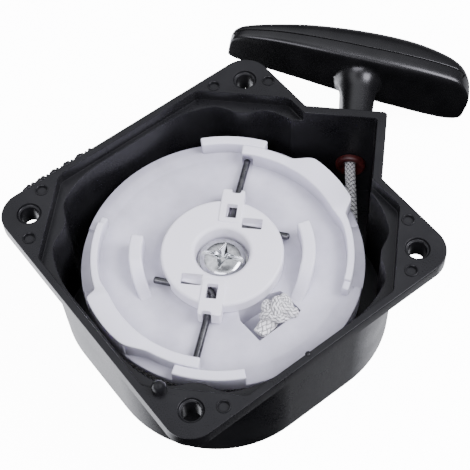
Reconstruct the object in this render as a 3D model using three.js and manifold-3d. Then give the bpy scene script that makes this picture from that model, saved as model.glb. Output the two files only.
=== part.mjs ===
// Recoil starter for a small engine: an open moulded housing with a square bolt flange, a white rope
// reel on a centre post with its hub cap and two wire springs, a spiral return spring under the reel,
// and a starter rope that leaves through a grommet to a T-handle.
// Millimetres. The origin is on the reel axis in the closed outer face, +Z points to the open engine
// side, and +Y is the direction of pull. The flange's four holes are on the X and Y axes.
import * as THREE from 'three';
import { mergeVertices } from 'three/addons/utils/BufferGeometryUtils.js';
import Module from 'manifold-3d';

// ---------- driving dimensions ----------
const HEIGHT = 42;              // closed face to flange face
const GAP = 0.3;                // clearance between touching pieces
const WALL = 2.6;               // floor of the housing

const HOLE_RADIUS_FROM_AXIS = 58;
const HOLE_D = 5.5;
const HOLE_RECESS_D = 7.2;
const HOLE_RECESS_DEPTH = 0.9;
const HOLE_SLEEVE_R = 5;        // sleeve under the flange round each hole
const HOLE_SLEEVE_DEPTH = 7.8;  // length of the hole through flange and sleeve
const FLANGE_HALF = 49.5;       // half the side of the square flange
const FLANGE_CORNER = 8.5;
const FLANGE_THICK = 5.2;

const BODY_HALF_TOP = 47.8;
const BODY_DRAFT = 0.6;         // the body is this much smaller each side at the closed face
const BODY_CORNER = 36;
const BODY_EDGE = 1.6;          // rounding of the closed face's edge
const CAVITY_HALF = 45.8;
const CAVITY_CORNER = 34;
const LEDGE_DEPTH = 4.2;        // the ledge inside the flange lies this far below its face
const MOUTH_HALF = 47.2;        // mouth above the ledge
const MOUTH_CORNER_CUT = 52;    // the corner pads end this far from the axis
const BOSS_R = 10.5;            // bulge of the wall round each hole

const BOX_X = 46.2;             // outer faces of the rope box
const BOX_Y = 49.5;
const BOX_WALL = 3;

const ROPE_D = 3.5;
const ROPE_X = 35.9;            // line of pull
const ROPE_Z = 17.4;
const ROPE_PITCH = 3.7;

const POST_R = 6;
const POST_TOP = 24;
const SCREW_R = 2.4;

const REEL_R = 43.5;
const REEL_BOTTOM = 14;
const GROOVE_BOTTOM = 16.2;
const GROOVE_TOP = 24.1;
const GROOVE_R = 34.6;
const REEL_RIM_TOP = 26.6;
const REEL_FACE = 25.5;         // dished face inside the rim
const BORE_R = 6.3;
const REEL_BOSS_R = 8.5;

const CAP_R = 18.8;
const CAP_BOTTOM = 25.9;
const CAP_TOP = 30.6;
const CAP_RECESS_R = 8.3;
const CAP_COLLAR_R = 9.5;

const WIRE_D = 2.2;
const WIRE_Z = 27.6;
const WIRE_BEND_SIZE = 2.8;     // from the corner of the bend to where it starts on each leg
const WIRE_SHIFT = 1.4;         // the lower wire sits this much further out along its long leg

const SPRING_CUP_R = 30;
const SPRING_CUP_TOP = 12;
const SPRING_TURNS = 8;
const SPRING_THICK = 0.5;

const HANDLE_Y = 81;            // finger face of the handle bar
const HANDLE_ROLL = 0.2;        // the bar hangs turned by this angle about the line of pull
const HANDLE_SEAM = 6;          // the cover starts this far behind the finger face
const STEM_START = 50.6;

const DEG = Math.PI / 180;

// ---------- solids ----------
const wasm = await Module();
wasm.setup();

function toSolid(geometry) {
  const bare = geometry.index ? geometry.toNonIndexed() : geometry.clone();
  bare.deleteAttribute('normal');
  bare.deleteAttribute('uv');
  const merged = mergeVertices(bare, 1e-4);
  return new wasm.Manifold(new wasm.Mesh({
    numProp: 3,
    vertProperties: new Float32Array(merged.attributes.position.array),
    triVerts: new Uint32Array(merged.index.array),
  }));
}

function toGeometry(solid) {
  const mesh = solid.getMesh();
  const geometry = new THREE.BufferGeometry();
  geometry.setAttribute('position', new THREE.BufferAttribute(mesh.vertProperties, 3));
  geometry.setIndex(new THREE.BufferAttribute(mesh.triVerts, 1));
  geometry.computeVertexNormals();
  return geometry;
}

function join(...solids) {
  return solids.reduce((all, next) => all.add(next));
}

function cut(solid, ...tools) {
  return tools.reduce((rest, tool) => rest.subtract(tool), solid);
}

// ---------- shape helpers ----------
// Prism of a shape drawn in X and Y, from z0 to z1.
function prism(shape, z0, z1, curveSegments = 8) {
  const geometry = new THREE.ExtrudeGeometry(shape, { depth: z1 - z0, bevelEnabled: false, curveSegments });
  geometry.translate(0, 0, z0);
  return geometry;
}

function roundedRect(x0, y0, x1, y1, r) {
  const shape = new THREE.Shape();
  shape.moveTo(x0 + r, y0);
  shape.lineTo(x1 - r, y0);
  shape.absarc(x1 - r, y0 + r, r, -Math.PI / 2, 0);
  shape.lineTo(x1, y1 - r);
  shape.absarc(x1 - r, y1 - r, r, 0, Math.PI / 2);
  shape.lineTo(x0 + r, y1);
  shape.absarc(x0 + r, y1 - r, r, Math.PI / 2, Math.PI);
  shape.lineTo(x0, y0 + r);
  shape.absarc(x0 + r, y0 + r, r, Math.PI, Math.PI * 1.5);
  return shape;
}

// Square prism with round corners, standing on its corner: its corners are on the X and Y axes.
function diamond(half, corner, z0, z1, curveSegments = 8) {
  const geometry = prism(roundedRect(-half, -half, half, half, corner), z0, z1, curveSegments);
  geometry.rotateZ(Math.PI / 4);
  return geometry;
}

function box(x0, x1, y0, y1, z0, z1) {
  const geometry = new THREE.BoxGeometry(x1 - x0, y1 - y0, z1 - z0);
  geometry.translate((x0 + x1) / 2, (y0 + y1) / 2, (z0 + z1) / 2);
  return geometry;
}

function cylinder(r, z0, z1, x = 0, y = 0, segments = 32) {
  const geometry = new THREE.CylinderGeometry(r, r, z1 - z0, segments);
  geometry.rotateX(Math.PI / 2);
  geometry.translate(x, y, (z0 + z1) / 2);
  return geometry;
}

// Turned solid about Z from a profile of [radius, z] points.
function turned(profile, segments = 64) {
  const points = profile.map(([r, z]) => new THREE.Vector2(r, z));
  const geometry = new THREE.LatheGeometry(points, segments);
  geometry.rotateX(Math.PI / 2);
  return geometry;
}

// Turned ring whose profile closes on itself, given anticlockwise in [radius, z].
function ring(profile, segments = 64) {
  return turned([...profile, profile[0]], segments);
}

// Arc-shaped wall between two radii and two angles in degrees.
function sector(rIn, rOut, a0, a1, z0, z1) {
  const shape = new THREE.Shape();
  shape.absarc(0, 0, rOut, a0 * DEG, a1 * DEG, false);
  shape.absarc(0, 0, rIn, a1 * DEG, a0 * DEG, true);
  shape.closePath();
  return prism(shape, z0, z1, Math.max(2, Math.ceil((a1 - a0) / 14)));
}

// Round bar along a curve.
function bar(curve, diameter, steps, sides = 8) {
  const section = new THREE.Shape();
  section.absarc(0, 0, diameter / 2, 0, Math.PI * 2);
  return new THREE.ExtrudeGeometry(section, { steps, extrudePath: curve, curveSegments: sides / 2 });
}

// Flat outline of a strip of constant thickness along a list of 2-D points.
function stripShape(points, thickness) {
  const half = thickness / 2;
  const sides = [[], []];
  points.forEach((point, i) => {
    const before = points[Math.max(0, i - 1)];
    const after = points[Math.min(points.length - 1, i + 1)];
    const normal = after.clone().sub(before).normalize();
    sides[0].push(new THREE.Vector2(point.x - normal.y * half, point.y + normal.x * half));
    sides[1].unshift(new THREE.Vector2(point.x + normal.y * half, point.y - normal.x * half));
  });
  return new THREE.Shape([...sides[0], ...sides[1]]);
}

// A feature and its copy half a turn round the axis.
function twice(geometry) {
  const turnedCopy = geometry.clone();
  turnedCopy.rotateZ(Math.PI);
  return [toSolid(geometry), toSolid(turnedCopy)];
}

const group = new THREE.Group();

function add(name, geometry, color, roughness, metalness) {
  const mesh = new THREE.Mesh(geometry, new THREE.MeshStandardMaterial({ color, roughness, metalness }));
  mesh.name = name;
  group.add(mesh);
  return mesh;
}

// ---------- housing ----------
const holeCentres = [0, 1, 2, 3].map((k) => new THREE.Vector2(
  HOLE_RADIUS_FROM_AXIS * Math.cos(k * Math.PI / 2),
  HOLE_RADIUS_FROM_AXIS * Math.sin(k * Math.PI / 2),
));

// Outer body: a drafted square with large corners and a rounded edge at the closed face.
function housingBody() {
  const top = HEIGHT - FLANGE_THICK / 2;
  const shape = roundedRect(-BODY_HALF_TOP, -BODY_HALF_TOP, BODY_HALF_TOP, BODY_HALF_TOP, BODY_CORNER);
  const geometry = new THREE.ExtrudeGeometry(shape, {
    depth: top - BODY_EDGE,
    bevelThickness: BODY_EDGE,
    bevelSize: BODY_EDGE,
    bevelOffset: -BODY_EDGE,
    bevelSegments: 2,
    curveSegments: 8,
  });
  geometry.translate(0, 0, BODY_EDGE);
  geometry.rotateZ(Math.PI / 4);
  const position = geometry.attributes.position;
  for (let i = 0; i < position.count; i += 1) {
    const rise = position.getZ(i) / top;
    const scale = 1 - BODY_DRAFT / BODY_HALF_TOP * (1 - rise);
    position.setXY(i, position.getX(i) * scale, position.getY(i) * scale);
  }
  return toSolid(geometry);
}

// Space inside: the cup with a bulge at each hole, the mouth above the ledge, and the rope box.
function housingSpace() {
  const cup = toSolid(diamond(CAVITY_HALF, CAVITY_CORNER, WALL, HEIGHT + 1, 8));
  const bosses = holeCentres.map((c) => toSolid(cylinder(BOSS_R, 0, HEIGHT + 2, c.x, c.y, 32)));
  const mouth = toSolid(diamond(MOUTH_HALF, 2, HEIGHT - LEDGE_DEPTH, HEIGHT + 1, 3));
  const padLimit = toSolid(box(-MOUTH_CORNER_CUT, MOUTH_CORNER_CUT, -MOUTH_CORNER_CUT, MOUTH_CORNER_CUT,
    0, HEIGHT + 2));
  const ropeBox = toSolid(prism(
    roundedRect(14, 14, BOX_X - BOX_WALL, BOX_Y - BOX_WALL, 0.8), WALL, HEIGHT + 1, 2));
  return join(cut(cup, ...bosses), mouth.intersect(padLimit), ropeBox);
}

// Wall round the return spring, with the slot that takes the spring's outer hook.
function springCup() {
  const wall = ring([
    [SPRING_CUP_R, WALL - 0.5],
    [SPRING_CUP_R + 2, WALL - 0.5],
    [SPRING_CUP_R + 2, SPRING_CUP_TOP],
    [SPRING_CUP_R, SPRING_CUP_TOP],
  ], 48);
  const slot = box(SPRING_CUP_R - 1, SPRING_CUP_R + 3, -0.8, 0.8, WALL + 0.4, SPRING_CUP_TOP + 1);
  return cut(toSolid(wall), toSolid(slot));
}

// Round marks of the mould's ejector pins: shallow pits beside the holes.
function pitMarks() {
  const markRadius = 1.6;
  const places = [[-56, 8.7], [-56, -8.7], [-9.5, 54.3], [7.6, 58.2], [54.8, 9.6], [56.6, -7.8], [8.6, -56]];
  return places.map(([x, y]) => toSolid(cylinder(markRadius, HEIGHT - 0.5, HEIGHT + 1, x, y, 10)));
}

function housing() {
  const flange = toSolid(diamond(FLANGE_HALF, FLANGE_CORNER, HEIGHT - FLANGE_THICK, HEIGHT, 5));
  const ropeBox = toSolid(prism(roundedRect(14, 14, BOX_X, BOX_Y, 1.2), 0, HEIGHT, 2));
  const sleeves = holeCentres.map((c) => toSolid(
    cylinder(HOLE_SLEEVE_R, HEIGHT - HOLE_SLEEVE_DEPTH, HEIGHT - 1, c.x, c.y, 24)));
  const shell = cut(join(housingBody(), flange, ropeBox, ...sleeves), housingSpace());
  const post = toSolid(ring([
    [SCREW_R + GAP, 8],
    [SCREW_R + GAP, POST_TOP],
    [POST_R, POST_TOP],
    [POST_R, 3.5],
    [POST_R + 1.5, WALL - 0.5],
    [0.5, WALL - 0.5],
    [0.5, 8],
  ].reverse(), 32));
  const peg = toSolid(turned([
    [0, HEIGHT - 1],
    [2.1, HEIGHT - 1],
    [2.1, HEIGHT + 1.6],
    [1.5, HEIGHT + 2.8],
    [0, HEIGHT + 3.3],
  ], 16).translate(-9.6, -53, 0));
  const holes = holeCentres.flatMap((c) => [
    toSolid(cylinder(HOLE_D / 2, 30, HEIGHT + 1, c.x, c.y, 18)),
    toSolid(cylinder(HOLE_RECESS_D / 2, HEIGHT - HOLE_RECESS_DEPTH, HEIGHT + 1, c.x, c.y, 18)),
  ]);
  const guideHole = new THREE.CylinderGeometry(4.1, 4.1, 10, 24);
  guideHole.translate(ROPE_X, BOX_Y - 1, ROPE_Z);
  return cut(join(shell, post, springCup(), peg), ...holes, ...pitMarks(), toSolid(guideHole));
}

// Rope grommet: an eyelet with its collar inside the box and a bell mouth for the rope.
function ropeGuide() {
  const wallFace = BOX_Y - BOX_WALL;
  const profile = [
    [2.2, wallFace],
    [2.2, BOX_Y - 0.8],
    [2.9, BOX_Y + 0.2],
    [3.8, BOX_Y + 0.2],
    [3.8, wallFace - GAP],
    [5, wallFace - GAP],
    [5, wallFace - 1.5],
    [4.4, wallFace - 2.1],
    [3.2, wallFace - 2.1],
    [2.5, wallFace - 1.2],
  ].reverse();
  const points = [...profile, profile[0]].map(([r, y]) => new THREE.Vector2(r, y));
  const geometry = new THREE.LatheGeometry(points, 20);
  geometry.translate(ROPE_X, 0, ROPE_Z);
  return geometry;
}

// ---------- return spring ----------
// Flat spiral: the inner end turns in to the reel boss, the outer end turns out into the cup's slot.
function recoilSpring() {
  const inner = REEL_BOSS_R + 0.9;
  const outer = SPRING_CUP_R - 1;
  const stepsPerTurn = 20;
  const steps = SPRING_TURNS * stepsPerTurn;
  const points = [new THREE.Vector2(REEL_BOSS_R - 1.6, 0)];
  for (let i = 0; i <= steps; i += 1) {
    const angle = i / stepsPerTurn * Math.PI * 2;
    const r = inner + (outer - inner) * i / steps;
    points.push(new THREE.Vector2(r * Math.cos(angle), r * Math.sin(angle)));
  }
  points.push(new THREE.Vector2(SPRING_CUP_R + 1.4, 0));
  return prism(stripShape(points, SPRING_THICK), 3.4, SPRING_CUP_TOP - 0.6);
}

// ---------- reel ----------
const POCKET_ANGLE = -48;       // where the rope passes through the drum, degrees

// Knot pocket in the face of the reel.
function knotPocket() {
  const shape = new THREE.Shape([
    new THREE.Vector2(7, -17.5),
    new THREE.Vector2(8, -20.5),
    new THREE.Vector2(14.6, -26.6),
    new THREE.Vector2(25.7, -15.1),
    new THREE.Vector2(19, -9),
    new THREE.Vector2(14, -11),
  ]);
  return toSolid(prism(shape, GROOVE_BOTTOM, REEL_RIM_TOP + 1));
}

function ropeHole() {
  const hole = new THREE.CylinderGeometry(2.15, 2.15, 11, 16);
  hole.translate(0, 31, 0);
  hole.rotateZ((POCKET_ANGLE - 90) * DEG);
  hole.translate(0, 0, 18.4);
  return toSolid(hole);
}

// Hollow underside of the drum, left solid round the knot pocket and crossed by ribs.
function drumHollow() {
  const hollow = toSolid(sector(11.5, 31, 0, 258, REEL_BOTTOM - 1, 22.5));
  const ribs = [30, 75, 120, 165].map((angle) => {
    const rib = box(-33, 33, -1, 1, REEL_BOTTOM - 2, 23);
    rib.rotateZ(angle * DEG);
    return toSolid(rib);
  });
  return cut(hollow, ...ribs);
}

// Curved rib on the reel's face: level from one angle to the next, then down a straight ramp.
function rampRib(levelStart, levelEnd, rampEnd) {
  const rIn = 24.3;
  const rOut = 28.4;
  const top = 32.2;
  const rib = sector(rIn, rOut, Math.min(levelStart, rampEnd), Math.max(levelStart, rampEnd),
    REEL_FACE - 0.5, top);
  const pointAt = (angle, z) => new THREE.Vector3(
    (rIn + rOut) / 2 * Math.cos(angle * DEG), (rIn + rOut) / 2 * Math.sin(angle * DEG), z);
  const high = pointAt(levelEnd, top);
  const low = pointAt(rampEnd, REEL_FACE + 0.4);
  const fall = low.clone().sub(high);
  const above = new THREE.BoxGeometry(40, 20, 20);
  above.translate(0, 0, 10);
  above.rotateY(Math.atan2(-fall.z, Math.hypot(fall.x, fall.y)));
  above.rotateZ(Math.atan2(fall.y, fall.x));
  const middle = high.add(low).multiplyScalar(0.5);
  above.translate(middle.x, middle.y, middle.z);
  return cut(toSolid(rib), toSolid(above));
}

function reel() {
  const bodyProfile = [
    [BORE_R, 3.2],
    [REEL_BOSS_R, 3.2],
    [REEL_BOSS_R, REEL_BOTTOM],
    [REEL_R - 0.5, REEL_BOTTOM],
    [REEL_R - 0.5, GROOVE_BOTTOM - 0.6],
    [REEL_R - 1.5, GROOVE_BOTTOM],
    [GROOVE_R, GROOVE_BOTTOM],
    [GROOVE_R, GROOVE_TOP],
    [REEL_R, GROOVE_TOP],
    [REEL_R, REEL_RIM_TOP],
    [41, REEL_RIM_TOP],
    [37, REEL_FACE],
    [CAP_COLLAR_R + 0.5, REEL_FACE],
    [CAP_COLLAR_R + 0.5, 21.4],
    [BORE_R, 21.4],
  ];
  const walls = [
    sector(40.3, REEL_R, 78, 107, REEL_FACE - 0.5, 31),
    sector(36.7, 40.6, 24, 88, REEL_FACE - 0.5, 31.4),
    sector(40.2, REEL_R, 28, 60, REEL_FACE - 0.5, 33.3),
    sector(37.9, 40.1, -13, 27, REEL_FACE - 0.5, 31),
  ].flatMap(twice);
  const wireSlot = twice(box(1.4, 5, 34, 39.2, REEL_FACE, WIRE_Z + 1.4));
  const rimStep = twice(sector(40.1, REEL_R + 1, -8, 27, REEL_RIM_TOP - 1.2, REEL_RIM_TOP + 1));
  const springSlot = toSolid(box(REEL_BOSS_R - 2, REEL_BOSS_R + 1, -0.8, 0.8, 3, SPRING_CUP_TOP));
  const body = join(cut(toSolid(ring(bodyProfile, 60)), ...rimStep), ...walls,
    rampRib(28, -7, -28), rampRib(175, 195, 219));
  return cut(body, knotPocket(), ropeHole(), drumHollow(), springSlot, ...wireSlot);
}

// ---------- hub cap and its wire springs ----------
const WIRE_OUTER_END = new THREE.Vector3(3.2, 37, WIRE_Z);
const WIRE_BEND = new THREE.Vector3(0.7, 11.2, WIRE_Z);
const WIRE_INNER_END = new THREE.Vector3(19.6, 9.1, WIRE_Z);

// Point on a leg where the bend of the wire starts.
function bendEndTo(legEnd) {
  return WIRE_BEND.clone().add(legEnd.clone().sub(WIRE_BEND).setLength(WIRE_BEND_SIZE));
}

// Bent wire: a long leg out to the rim wall and a short leg across the hub.
function wireSpring() {
  const path = new THREE.CurvePath();
  const bendStart = bendEndTo(WIRE_OUTER_END);
  const bendEnd = bendEndTo(WIRE_INNER_END);
  path.add(new THREE.LineCurve3(WIRE_OUTER_END, bendStart));
  path.add(new THREE.QuadraticBezierCurve3(bendStart, WIRE_BEND, bendEnd));
  path.add(new THREE.LineCurve3(bendEnd, WIRE_INNER_END));
  return bar(path, WIRE_D, 16, 6);
}

// The lower wire's place for a shape that is drawn at the upper wire.
function atLowerWire(geometry) {
  return geometry.rotateZ(Math.PI).translate(0, -WIRE_SHIFT, 0);
}

// Channel under the cap for one leg of a wire.
function wireChannel(from, to) {
  const along = to.clone().sub(from);
  const length = along.length() + WIRE_D;
  const channel = new THREE.BoxGeometry(length, WIRE_D + 0.6, 3.6);
  channel.rotateZ(Math.atan2(along.y, along.x));
  const middle = from.clone().add(to).multiplyScalar(0.5);
  channel.translate(middle.x, middle.y, WIRE_Z - 0.4);
  return channel;
}

function hubCap() {
  const disc = toSolid(ring([
    [BORE_R, 21.7],
    [CAP_COLLAR_R, 21.7],
    [CAP_COLLAR_R, CAP_BOTTOM],
    [CAP_R, CAP_BOTTOM],
    [CAP_R, CAP_TOP - 0.8],
    [CAP_R - 0.8, CAP_TOP],
    [CAP_RECESS_R + 1, CAP_TOP],
    [CAP_RECESS_R, CAP_TOP - 1],
    [CAP_RECESS_R, 23.7],
    [BORE_R, 23.7],
  ], 40));
  const tabs = twice(prism(roundedRect(-2.7, 10.4, 4.4, 22.6, 0.4), CAP_BOTTOM, CAP_TOP + 0.4, 2));
  const windows = [
    box(-0.6, 2.7, 12, 17, WIRE_Z, CAP_TOP + 2),
    box(4.7, 11, 8.9, 12.7, WIRE_Z, CAP_TOP + 2),
    box(0.2, 3.2, 21.3, 23, WIRE_Z, CAP_TOP + 2),
  ].flatMap(twice);
  const channels = [
    [WIRE_BEND, new THREE.Vector3(2, 25, WIRE_Z)],
    [WIRE_BEND, WIRE_INNER_END],
    [bendEndTo(WIRE_OUTER_END), bendEndTo(WIRE_INNER_END)],
  ].flatMap(([from, to]) => [wireChannel(from, to), atLowerWire(wireChannel(from, to))]).map(toSolid);
  return cut(join(disc, ...tabs), ...windows, ...channels);
}

// ---------- centre screw and washer ----------
function centreWasher() {
  return ring([
    [SCREW_R + GAP, POST_TOP + GAP],
    [7.8, POST_TOP + GAP],
    [7.8, POST_TOP + GAP + 1],
    [SCREW_R + GAP, POST_TOP + GAP + 1],
  ], 32);
}

// Pan head with a combination recess: a cross and one long slot.
function centreScrew() {
  const headBottom = POST_TOP + GAP + 1.3;
  const headTop = headBottom + 2.6;
  const screw = toSolid(turned([
    [0, 9.4],
    [SCREW_R - 0.8, 9.4],
    [SCREW_R, 10.4],
    [SCREW_R, headBottom],
    [7.15, headBottom],
    [7.15, headBottom + 1],
    [6.2, headTop - 0.6],
    [3.6, headTop],
    [0, headTop],
  ], 32));
  const slot = box(-8, 8, -0.6, 0.6, headTop - 1.2, headTop + 1);
  const crossArms = [box(-2.6, 2.6, -0.75, 0.75, headTop - 1.8, headTop + 1),
    box(-0.75, 0.75, -2.6, 2.6, headTop - 1.8, headTop + 1)];
  return cut(screw, ...[slot, ...crossArms].map((tool) => toSolid(tool.rotateZ(-4 * DEG))));
}

// ---------- rope ----------
const INNER_LAYER = GROOVE_R + 0.4 + ROPE_D / 2;
const OUTER_LAYER = INNER_LAYER + ROPE_PITCH;
const LOW_TURN = GROOVE_BOTTOM + 0.4 + ROPE_D / 2;
const HIGH_TURN = LOW_TURN + ROPE_PITCH;

// Angle on the reel, in degrees, where the rope leaves the outer layer for the grommet.
function leavingAngle() {
  const guideY = BOX_Y - BOX_WALL - 2.2;
  const distance = Math.hypot(ROPE_X, guideY);
  return (Math.atan2(guideY, ROPE_X) - Math.acos(OUTER_LAYER / distance)) / DEG;
}

const WOUND_START = POCKET_ANGLE + 3.6;
const WOUND_TURN = 360 * 3 + leavingAngle() - WOUND_START;

function ease(value, from, to) {
  return THREE.MathUtils.smoothstep(value, from, to);
}

// Centre line of the turns: two turns on the inner layer, then on the outer one. The steps from one
// turn to the next come at different angles, so that the turns never touch.
class WoundRope extends THREE.Curve {
  getPoint(t, target = new THREE.Vector3()) {
    const along = t * WOUND_TURN;
    const angle = (WOUND_START + along) * DEG;
    const r = INNER_LAYER + ROPE_PITCH * ease(along, 620, 660);
    const z = LOW_TURN + ROPE_PITCH * (ease(along, 300, 340) - ease(along, 940, 980));
    return target.set(r * Math.cos(angle), r * Math.sin(angle), z);
  }
}

function ropeRun() {
  const angle = leavingAngle() * DEG;
  const away = new THREE.Vector3(-Math.sin(angle), Math.cos(angle), 0);
  const start = new THREE.Vector3(OUTER_LAYER * Math.cos(angle), OUTER_LAYER * Math.sin(angle), LOW_TURN);
  start.addScaledVector(away, GAP);
  const route = new THREE.CatmullRomCurve3([
    start,
    start.clone().lerp(new THREE.Vector3(ROPE_X, BOX_Y - BOX_WALL - 2.2, ROPE_Z), 0.5),
    new THREE.Vector3(ROPE_X, BOX_Y - BOX_WALL - 2.2, ROPE_Z),
    new THREE.Vector3(ROPE_X, STEM_START, ROPE_Z),
    new THREE.Vector3(ROPE_X, HANDLE_Y - 2.1, ROPE_Z),
  ], false, 'centripetal');
  return bar(route, ROPE_D, 16, 8);
}

const REEL_KNOT = new THREE.Vector3(18.6, -15, 23.6);

function ropeReelKnot() {
  const knot = new THREE.SphereGeometry(1, 12, 8).scale(4.4, 4.4, 5.4);
  knot.translate(REEL_KNOT.x, REEL_KNOT.y, REEL_KNOT.z);
  const tailEnd = new THREE.Vector3(14.3, -23.6, 21.4);
  const tail = bar(new THREE.LineCurve3(tailEnd, REEL_KNOT), ROPE_D, 1, 8);
  const outward = new THREE.Vector3(Math.cos(POCKET_ANGLE * DEG), Math.sin(POCKET_ANGLE * DEG), 0);
  const inPocket = outward.clone().multiplyScalar(24).setZ(LOW_TURN);
  const inGroove = outward.clone().multiplyScalar(OUTER_LAYER - ROPE_D / 2 - 0.35).setZ(LOW_TURN);
  const throughWall = bar(new THREE.LineCurve3(inGroove, inPocket), ROPE_D, 1, 8);
  return join(toSolid(knot), toSolid(tail), toSolid(throughWall));
}

// ---------- handle ----------
// The handle is drawn about the line of pull: X along the bar, Y toward the palm from the finger face,
// Z up. It is then turned by its roll and set in its place.
function placeHandle(geometry) {
  geometry.rotateY(HANDLE_ROLL);
  geometry.translate(ROPE_X, HANDLE_Y, ROPE_Z);
  return geometry;
}

// The bar at stations along it: [along, bottom, top, palm]. It is deeper at the right end.
const BAR_STATIONS = [
  [-46, -3.4, 3.6, 7.2],
  [-44.8, -4.4, 5.8, 8.8],
  [-41, -5.2, 8, 10],
  [-31, -5.8, 10.3, 12],
  [-18, -6.8, 11.6, 14.6],
  [-2, -8.8, 12, 16.8],
  [14, -9.8, 12, 17],
  [26, -10.6, 11.2, 15],
  [33.6, -10.6, 9.4, 12.2],
  [38, -9, 4.4, 9.2],
  [39.2, -6.2, -0.4, 7],
];
const BAR_SIDES = 24;

// Rounded cross-section of the bar: nearly square corners at the fingers, rounder ones at the palm.
function barSection([along, bottom, top, palm]) {
  const finger = 0.0015 * along ** 2 - 0.055 * Math.max(along, 0);
  return Array.from({ length: BAR_SIDES }, (_, i) => {
    const angle = i / BAR_SIDES * Math.PI * 2;
    const roundness = Math.cos(angle) < 0 ? 0.4 : 0.75;
    const back = Math.sign(Math.cos(angle)) * Math.abs(Math.cos(angle)) ** roundness;
    const up = Math.sign(Math.sin(angle)) * Math.abs(Math.sin(angle)) ** roundness;
    return new THREE.Vector3(
      along,
      (finger + palm) / 2 + (palm - finger) / 2 * back,
      (bottom + top) / 2 + (top - bottom) / 2 * up,
    );
  });
}

// Closed solid through a row of rings that follow each other along +X.
function loft(rings) {
  const sides = rings[0].length;
  const points = rings.flat();
  const faces = [];
  for (let k = 0; k < rings.length - 1; k += 1) {
    for (let i = 0; i < sides; i += 1) {
      const near = k * sides + i;
      const nearNext = k * sides + (i + 1) % sides;
      faces.push(near, nearNext, nearNext + sides, near, nearNext + sides, near + sides);
    }
  }
  const middleOf = (list) => list.reduce((sum, p) => sum.add(p), new THREE.Vector3()).divideScalar(sides);
  const firstMiddle = points.push(middleOf(rings[0])) - 1;
  const lastMiddle = points.push(middleOf(rings.at(-1))) - 1;
  const lastStart = (rings.length - 1) * sides;
  for (let i = 0; i < sides; i += 1) {
    const next = (i + 1) % sides;
    faces.push(firstMiddle, next, i, lastMiddle, lastStart + i, lastStart + next);
  }
  const geometry = new THREE.BufferGeometry().setFromPoints(points);
  geometry.setIndex(faces);
  return geometry;
}

function handleBar() {
  return toSolid(loft(BAR_STATIONS.map(barSection)));
}

function handleBody() {
  const finger = handleBar().intersect(toSolid(box(-60, 60, -5, HANDLE_SEAM - GAP / 2, -20, 20)));
  const stemStart = STEM_START - HANDLE_Y;
  const stem = toSolid(new THREE.LatheGeometry([
    [0, stemStart],
    [4.4, stemStart],
    [4.9, stemStart + 0.6],
    [6.1, -6],
    [6.9, -2.6],
    [8.8, 0.4],
    [8.8, 1.5],
    [0, 1.5],
  ].map(([r, y]) => new THREE.Vector2(r, y)), 32));
  const bore = toSolid(new THREE.CylinderGeometry(2.15, 2.15, 60, 16).translate(0, -20, 0));
  const pocket = toSolid(new THREE.CylinderGeometry(5.2, 5.2, 10, 24).translate(0, 3, 0));
  return placeHandle(toGeometry(cut(join(finger, stem), bore, pocket)));
}

function handleCover() {
  const palm = handleBar().intersect(toSolid(box(-60, 60, HANDLE_SEAM + GAP / 2, 25, -20, 20)));
  return placeHandle(toGeometry(palm));
}

function ropeHandleKnot() {
  const knot = new THREE.SphereGeometry(1, 12, 8).scale(4.4, 3.4, 4.4);
  knot.translate(0, 1.6, 0);
  return placeHandle(knot);
}

// ---------- assembly ----------
const BLACK_PLASTIC = 0x3a3a3d;
const WHITE_NYLON = 0xdcdbe4;
const STEEL = 0x6c6d72;
const ROPE_WHITE = 0xd8d6cf;

add('housing', toGeometry(housing()), BLACK_PLASTIC, 0.5, 0);
add('rope_guide', ropeGuide(), 0x5a1e1c, 0.45, 0);
add('recoil_spring', recoilSpring(), STEEL, 0.35, 1);
add('reel', toGeometry(reel()), WHITE_NYLON, 0.45, 0);
add('hub_cap', toGeometry(hubCap()), 0xe6e5ec, 0.42, 0);
add('wire_spring_upper', wireSpring(), 0x4a4b4f, 0.3, 1);
add('wire_spring_lower', atLowerWire(wireSpring()), 0x4a4b4f, 0.3, 1);
add('centre_washer', centreWasher(), 0xb4b6ba, 0.3, 1);
add('centre_screw', toGeometry(centreScrew()), 0xc2c4c8, 0.25, 1);
add('rope_wound', bar(new WoundRope(), ROPE_D, 84, 8), ROPE_WHITE, 0.9, 0);
add('rope_reel_knot', toGeometry(ropeReelKnot()), ROPE_WHITE, 0.9, 0);
add('rope_run', ropeRun(), ROPE_WHITE, 0.9, 0);
add('rope_handle_knot', ropeHandleKnot(), ROPE_WHITE, 0.9, 0);
add('handle_body', handleBody(), 0x1d1d1f, 0.4, 0);
add('handle_cover', handleCover(), 0x1d1d1f, 0.4, 0);

export default group;
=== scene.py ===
import math

import bmesh
import bpy
from mathutils import Matrix, Vector


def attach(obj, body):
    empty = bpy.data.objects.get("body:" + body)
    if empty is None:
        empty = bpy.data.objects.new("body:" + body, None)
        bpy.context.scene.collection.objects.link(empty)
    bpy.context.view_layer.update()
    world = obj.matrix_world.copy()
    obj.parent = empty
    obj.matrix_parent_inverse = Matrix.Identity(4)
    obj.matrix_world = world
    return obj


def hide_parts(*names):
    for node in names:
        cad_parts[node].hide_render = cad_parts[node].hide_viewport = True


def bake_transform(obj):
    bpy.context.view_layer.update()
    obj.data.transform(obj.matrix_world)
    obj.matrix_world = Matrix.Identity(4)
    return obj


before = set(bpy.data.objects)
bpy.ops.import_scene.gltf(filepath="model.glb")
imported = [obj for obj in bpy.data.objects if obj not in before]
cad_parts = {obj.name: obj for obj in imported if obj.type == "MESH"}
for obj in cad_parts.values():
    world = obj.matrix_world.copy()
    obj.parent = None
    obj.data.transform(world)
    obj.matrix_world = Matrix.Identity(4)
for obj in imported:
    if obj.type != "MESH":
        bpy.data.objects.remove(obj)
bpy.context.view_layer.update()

# One millimetre in metres.
MM = 0.001

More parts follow.
